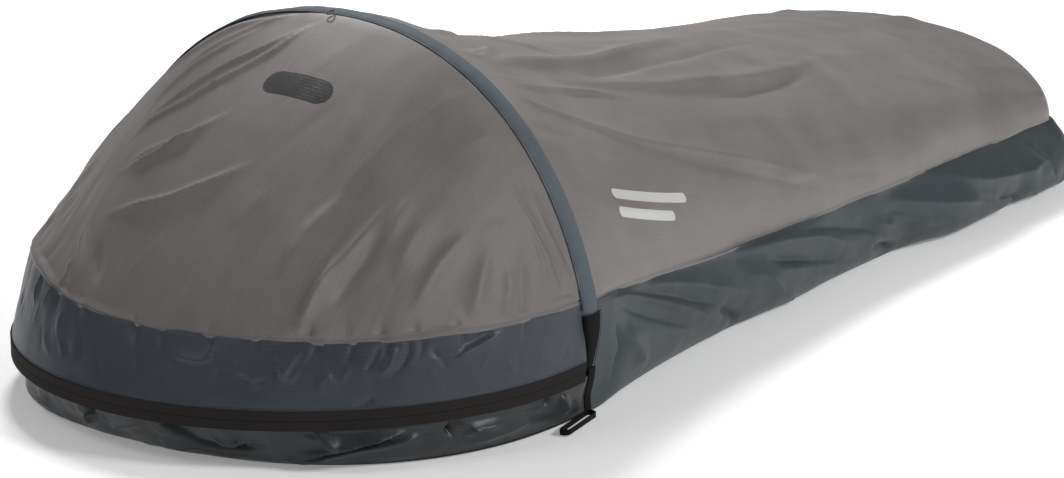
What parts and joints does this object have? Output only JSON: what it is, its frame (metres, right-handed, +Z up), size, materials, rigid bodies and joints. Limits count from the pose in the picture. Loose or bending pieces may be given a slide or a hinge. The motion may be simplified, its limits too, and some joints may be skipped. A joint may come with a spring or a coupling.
{
  "type": "bivy sack",
  "caption": "Long low one-person shelter sack with a tub floor, a hooped hood with a zipped clamshell door at the head, and stake loops for pitching on the ground.",
  "frame": {"origin": "underside of the floor panel, midway between the front of the zip and the end of the foot, on the sack's centre line", "axes": "+X from head to foot, +Y to the left of a sleeper lying face up, +Z up"},
  "size_m": [2.1485, 0.87, 0.5018],
  "materials": {
    "tub_fabric": "coated nylon, dark slate, smooth matte",
    "wall_fabric": "coated nylon, dark slate, soft satin",
    "body_fabric": "three-layer shell fabric, warm grey, soft satin sheen",
    "hood_fabric": "three-layer shell fabric, warm grey, fine ripstop grid",
    "band_fabric": "ripstop nylon, blue slate",
    "zip_tape": "coated zip tape, matte brown black",
    "zip_coil": "nylon coil, black",
    "slider_metal": "die-cast, black enamel",
    "pull_plastic": "moulded, black",
    "sleeve_fabric": "nylon taffeta, blue slate",
    "piping_fabric": "binding tape, near black",
    "pole_metal": "anodised tube, satin",
    "webbing": "woven nylon webbing, black",
    "cord_fabric": "braided cord, grey"
  },
  "bodies": {
    "sack": {"floor_panel": "tub_fabric", "wall_left": "wall_fabric", "wall_right": "wall_fabric", "foot_wall": "wall_fabric", "head_wall": "wall_fabric", "top_panel": "body_fabric", "foot_panel": "body_fabric", "zip_tape_lower": "zip_tape", "zip_coil_lower": "zip_coil", "pole_sleeve": "sleeve_fabric", "sleeve_piping": "piping_fabric", "pole_centre": "pole_metal", "pole_left": "pole_metal", "pole_right": "pole_metal", "ferrule_left": "pole_metal", "ferrule_right": "pole_metal", "pole_tip_left": "pull_plastic", "pole_tip_right": "pull_plastic", "pole_pocket_left": "webbing", "pole_pocket_right": "webbing", "corner_strap_left": "webbing", "corner_strap_right": "webbing"},
    "door": {"hood_panel": "hood_fabric", "hood_band": "band_fabric", "zip_tape_upper": "zip_tape", "zip_coil_upper": "zip_coil"},
    "slider_front": {"slider_front": "slider_metal"},
    "slider_rear": {"slider_rear": "slider_metal"},
    "pull_front": {"pull_front": "pull_plastic"},
    "pull_rear": {"pull_rear": "pull_plastic"},
    "stake_loop_right": {"stake_loop_right": "webbing"},
    "stake_loop_left": {"stake_loop_left": "webbing"},
    "crown_loop": {"crown_loop": "cord_fabric"}
  },
  "joints": [
    {"name": "door_open", "type": "hinge", "parent": "sack", "child": "door", "pos_m": [-0.614, 0, 0.13], "axis": [0, 1, 0], "range_deg": [0, 75], "deforming": ["hood_panel", "hood_band", "zip_tape_upper", "zip_coil_upper"]},
    {"name": "slider_front_run", "type": "hinge", "parent": "sack", "child": "slider_front", "pos_m": [-0.663, 0, 0.065], "axis": [0, 0, 1], "range_deg": [0, 152]},
    {"name": "slider_rear_run", "type": "hinge", "parent": "sack", "child": "slider_rear", "pos_m": [-0.663, 0, 0.065], "axis": [0, 0, 1], "range_deg": [-16, 0]},
    {"name": "pull_front_swing", "type": "hinge", "parent": "slider_front", "child": "pull_front", "pos_m": [-0.82071, 0.39034, 0.065], "axis": [0.9272, 0.3746, 0], "range_deg": [-34, 125]},
    {"name": "pull_rear_swing", "type": "hinge", "parent": "slider_rear", "child": "pull_rear", "pos_m": [-0.80459, 0.39648, 0.065], "axis": [0.9417, 0.3363, 0], "range_deg": [-34, 125]},
    {"name": "stake_loop_right_turn", "type": "hinge", "parent": "sack", "child": "stake_loop_right", "pos_m": [-0.622, -0.4154, 0.004], "axis": [0, 0, 1], "range_deg": [-9, 86]},
    {"name": "stake_loop_left_turn", "type": "hinge", "parent": "sack", "child": "stake_loop_left", "pos_m": [-0.622, 0.4154, 0.004], "axis": [0, 0, 1], "range_deg": [-86, 9]},
    {"name": "crown_loop_flip", "type": "hinge", "parent": "sack", "child": "crown_loop", "pos_m": [-0.6366, -0.012, 0.5005], "axis": [0, 1, 0], "range_deg": [0, 110]}
  ]
}
